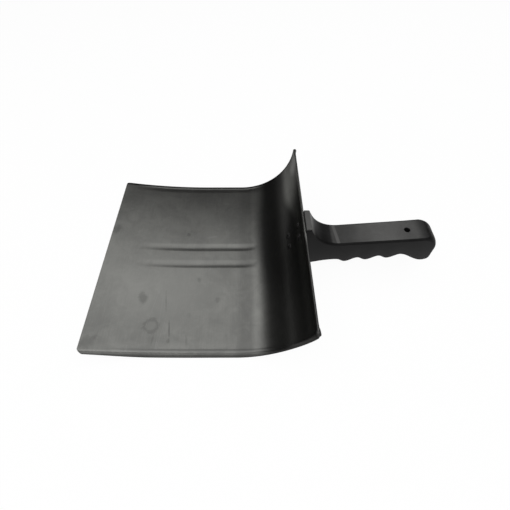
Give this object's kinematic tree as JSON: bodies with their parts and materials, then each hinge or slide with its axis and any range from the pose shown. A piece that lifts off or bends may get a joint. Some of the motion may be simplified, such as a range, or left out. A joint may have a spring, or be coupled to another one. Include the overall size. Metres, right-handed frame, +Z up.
{
  "type": "mortar hawk",
  "caption": "Scoop-shaped mortar hawk: pressed steel pan with rolled rims and an upturned back wall, and a finger-grooved plastic handle with a hanging hole.",
  "frame": {"origin": "middle of the bounding box at the base, in the plane the side rims rest on", "axes": "+X from the pan's front edge towards the butt of the handle, +Y across the pan, +Z up, away from the resting plane"},
  "size_m": [0.3812, 0.24, 0.0765],
  "materials": {
    "pan_steel": "dark satin sheet steel with light rubbing marks",
    "handle_plastic": "black satin moulded plastic",
    "screw_steel": "dark plain steel"
  },
  "bodies": {
    "root": {"pan": "pan_steel", "handle": "handle_plastic", "fixing_screws": "screw_steel"}
  },
  "joints": []
}
